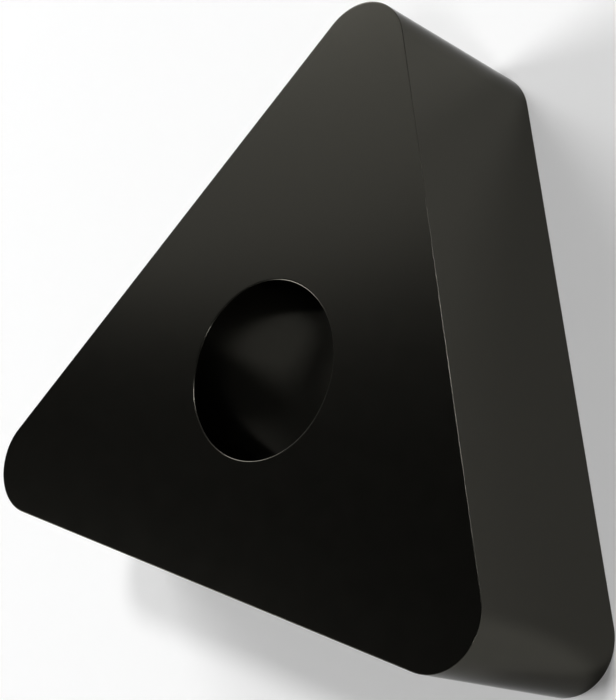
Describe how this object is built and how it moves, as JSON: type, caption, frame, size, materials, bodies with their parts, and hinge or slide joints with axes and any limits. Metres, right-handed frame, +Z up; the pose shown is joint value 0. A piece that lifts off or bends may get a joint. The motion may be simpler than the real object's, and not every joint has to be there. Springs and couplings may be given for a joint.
{
  "type": "carbide insert",
  "caption": "Thick triangular cutting insert with rounded corners, flat faces, square flanks and a straight clamping bore, held in a turning tool holder.",
  "frame": {"origin": "on the bore's axis, in the plane of the lower face that the insert lies on", "axes": "+Z up the bore, from the lower face to the upper face; +Y from the bore towards one cutting corner; +X along the flank opposite that corner"},
  "size_m": [0.0294, 0.0261, 0.0095],
  "materials": {
    "coated_carbide": "satin"
  },
  "bodies": {
    "root": {"insert": "coated_carbide"}
  },
  "joints": []
}
